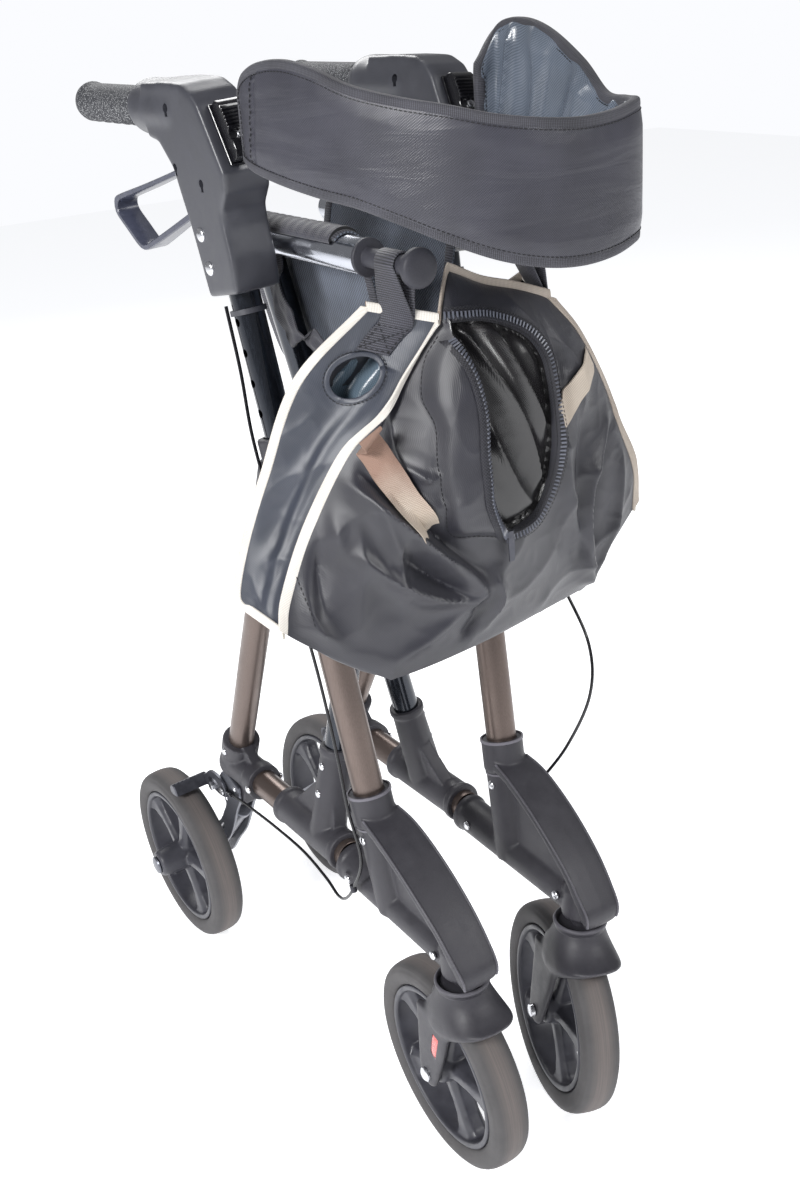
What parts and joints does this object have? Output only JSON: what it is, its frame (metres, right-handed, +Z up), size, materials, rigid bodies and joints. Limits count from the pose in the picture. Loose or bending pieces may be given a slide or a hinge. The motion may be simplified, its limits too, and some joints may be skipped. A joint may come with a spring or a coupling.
{
  "type": "rollator",
  "caption": "Side-folding rollator with leaning side frames, scissor brace, mesh seat, shopping bag, padded backrest strap and loop brakes, shown folded.",
  "frame": {"origin": "centre of the bounding box on the floor", "axes": "+Z up, -Y towards the front casters, +X to the user's left"},
  "size_m": [0.376, 0.6674, 0.9706],
  "materials": {
    "bag": "black nylon",
    "black_plastic": "plain",
    "black_tube": "glossy black enamel",
    "bronze": "semi-gloss bronze enamel",
    "cable": "black sheath",
    "chrome": "dark polished",
    "dark_steel": "black",
    "grey_metal": "brushed grey",
    "grip": "speckled, dull",
    "lever": "satin",
    "mesh": "grey mesh",
    "moulding": "fine grained",
    "reflector": "red lens",
    "rim": "satin",
    "steel": "zinc plated",
    "strap": "black nylon over foam",
    "tyre": "dull grey",
    "webbing": "black woven tape"
  },
  "bodies": {
    "right_frame": {"right_main_tube": "bronze", "right_rear_tube": "bronze", "right_bottom_tube": "bronze", "right_front_casting": "moulding", "right_rear_casting": "moulding", "right_frame_junction": "moulding", "right_rear_strut": "grey_metal", "right_rear_axle": "steel", "right_brake_cable": "cable", "seat_sling": "mesh", "backrest_strap": "strap"},
    "left_frame": {"left_main_tube": "bronze", "left_rear_tube": "bronze", "left_bottom_tube": "bronze", "left_front_casting": "moulding", "left_rear_casting": "moulding", "left_frame_junction": "moulding", "left_rear_strut": "grey_metal", "left_rear_axle": "steel", "left_brake_cable": "cable"},
    "right_handle": {"right_handle_tube": "black_tube", "right_handle_housing": "moulding", "right_hand_grip": "grip", "right_lever_pin": "steel", "right_strap_clip": "black_plastic"},
    "right_lever": {"right_brake_lever": "lever"},
    "right_brake": {"right_brake_arm": "dark_steel"},
    "right_caster": {"right_caster_fork": "moulding", "right_fork_reflector": "reflector", "right_front_axle": "steel"},
    "right_front_wheel": {"right_front_tyre": "tyre", "right_front_rim": "rim"},
    "right_rear_wheel": {"right_rear_tyre": "tyre", "right_rear_rim": "rim"},
    "left_handle": {"left_handle_tube": "black_tube", "left_handle_housing": "moulding", "left_hand_grip": "grip", "left_lever_pin": "steel", "left_strap_clip": "black_plastic"},
    "left_lever": {"left_brake_lever": "lever"},
    "left_brake": {"left_brake_arm": "dark_steel"},
    "left_caster": {"left_caster_fork": "moulding", "left_fork_reflector": "reflector", "left_front_axle": "steel"},
    "left_front_wheel": {"left_front_tyre": "tyre", "left_front_rim": "rim"},
    "left_rear_wheel": {"left_rear_tyre": "tyre", "left_rear_rim": "rim"},
    "brace_a": {"brace_a_leg": "black_tube", "brace_a_sleeve": "moulding", "seat_rail_left": "chrome", "rail_peg_left": "moulding", "scissor_pin": "steel"},
    "brace_b": {"brace_b_leg": "black_tube", "brace_b_sleeve": "moulding", "seat_rail_right": "chrome", "rail_peg_right": "moulding"},
    "right_hanger": {"bag_loop_right": "webbing"},
    "bag": {"shopping_bag": "bag"},
    "left_hanger": {"bag_loop_left": "webbing"}
  },
  "joints": [
    {"name": "frame_fold", "type": "slide", "parent": "right_frame", "child": "left_frame", "axis": [1, 0, 0], "range_m": [0, 0.34423], "deforming": ["seat_sling", "backrest_strap", "bag_loop_right", "bag_loop_left"]},
    {"name": "brace_a_turn", "type": "hinge", "parent": "right_frame", "child": "brace_a", "pos_m": [-0.06784, -0.0545, 0.25458], "axis": [0, 1, 0], "range_deg": [0, 37.49]},
    {"name": "brace_b_turn", "type": "hinge", "parent": "left_frame", "child": "brace_b", "pos_m": [0.06784, -0.0285, 0.25458], "axis": [0, 1, 0], "range_deg": [-37.49, 0]},
    {"name": "right_hanger_turn", "type": "hinge", "parent": "brace_b", "child": "right_hanger", "pos_m": [-0.058, -0.2255, 0.82183], "axis": [0, 1, 0], "range_deg": [0, 37.49]},
    {"name": "bag_slide", "type": "slide", "parent": "right_hanger", "child": "bag", "axis": [1, 0, 0], "range_m": [0, 0.14716]},
    {"name": "left_hanger_slide", "type": "slide", "parent": "bag", "child": "left_hanger", "axis": [1, 0, 0], "range_m": [0, 0.14716]},
    {"name": "right_handle_height", "type": "slide", "parent": "right_frame", "child": "right_handle", "axis": [-0.0565, 0.1979, 0.9786], "range_m": [-0.09, 0.03], "deforming": ["right_brake_cable"]},
    {"name": "right_lever_pull", "type": "hinge", "parent": "right_handle", "child": "right_lever", "pos_m": [-0.10388, -0.01553, 0.87854], "axis": [0.9983, 0, 0.0577], "range_deg": [0, 15], "stiffness_Nm_per_rad": 0.6, "springref_deg": -8.59},
    {"name": "right_brake_turn", "type": "hinge", "parent": "right_frame", "child": "right_brake", "pos_m": [-0.06542, 0.15347, 0.21265], "axis": [0.9983, 0, 0.0577], "range_deg": [-2, 0]},
    {"name": "right_caster_swivel", "type": "hinge", "parent": "right_frame", "child": "right_caster", "pos_m": [-0.05313, -0.27053, -0.00009], "axis": [-0.0577, 0, 0.9983], "range_deg": [-13.5, 182.5]},
    {"name": "right_front_wheel_spin", "type": "hinge", "parent": "right_caster", "child": "right_front_wheel", "pos_m": [-0.05733, -0.23456, 0.09983], "axis": [0.9974, -0.0436, 0.0576], "continuous": true},
    {"name": "right_rear_wheel_spin", "type": "hinge", "parent": "right_frame", "child": "right_rear_wheel", "pos_m": [-0.09646, 0.23447, 0.09983], "axis": [0.9983, 0, 0.0577], "continuous": true},
    {"name": "left_handle_height", "type": "slide", "parent": "left_frame", "child": "left_handle", "axis": [0.0565, 0.1979, 0.9786], "range_m": [-0.09, 0.03], "deforming": ["left_brake_cable"]},
    {"name": "left_lever_pull", "type": "hinge", "parent": "left_handle", "child": "left_lever", "pos_m": [0.10388, -0.01553, 0.87854], "axis": [0.9983, 0, -0.0577], "range_deg": [0, 15], "stiffness_Nm_per_rad": 0.6, "springref_deg": -8.59},
    {"name": "left_brake_turn", "type": "hinge", "parent": "left_frame", "child": "left_brake", "pos_m": [0.06542, 0.15347, 0.21265], "axis": [0.9983, 0, -0.0577], "range_deg": [-2, 0]},
    {"name": "left_caster_swivel", "type": "hinge", "parent": "left_frame", "child": "left_caster", "pos_m": [0.05317, -0.27053, 0.0006], "axis": [0.0577, 0, 0.9983], "range_deg": [-163.3, 32.7]},
    {"name": "left_front_wheel_spin", "type": "hinge", "parent": "left_caster", "child": "left_front_wheel", "pos_m": [0.06926, -0.23605, 0.09983], "axis": [0.9562, -0.2874, -0.0552], "continuous": true},
    {"name": "left_rear_wheel_spin", "type": "hinge", "parent": "left_frame", "child": "left_rear_wheel", "pos_m": [0.09646, 0.23447, 0.09983], "axis": [0.9983, 0, -0.0577], "continuous": true}
  ],
  "couplings": [
    {"joint": "brace_a_turn", "follows": "frame_fold", "rad_per_m": 1.9009},
    {"joint": "brace_b_turn", "follows": "frame_fold", "rad_per_m": -1.9009},
    {"joint": "right_hanger_turn", "follows": "frame_fold", "rad_per_m": 1.9009},
    {"joint": "bag_slide", "follows": "frame_fold", "ratio": 0.42749},
    {"joint": "left_hanger_slide", "follows": "frame_fold", "ratio": 0.42749},
    {"joint": "right_brake_turn", "follows": "right_lever_pull", "ratio": -0.13333},
    {"joint": "left_brake_turn", "follows": "left_lever_pull", "ratio": -0.13333}
  ]
}
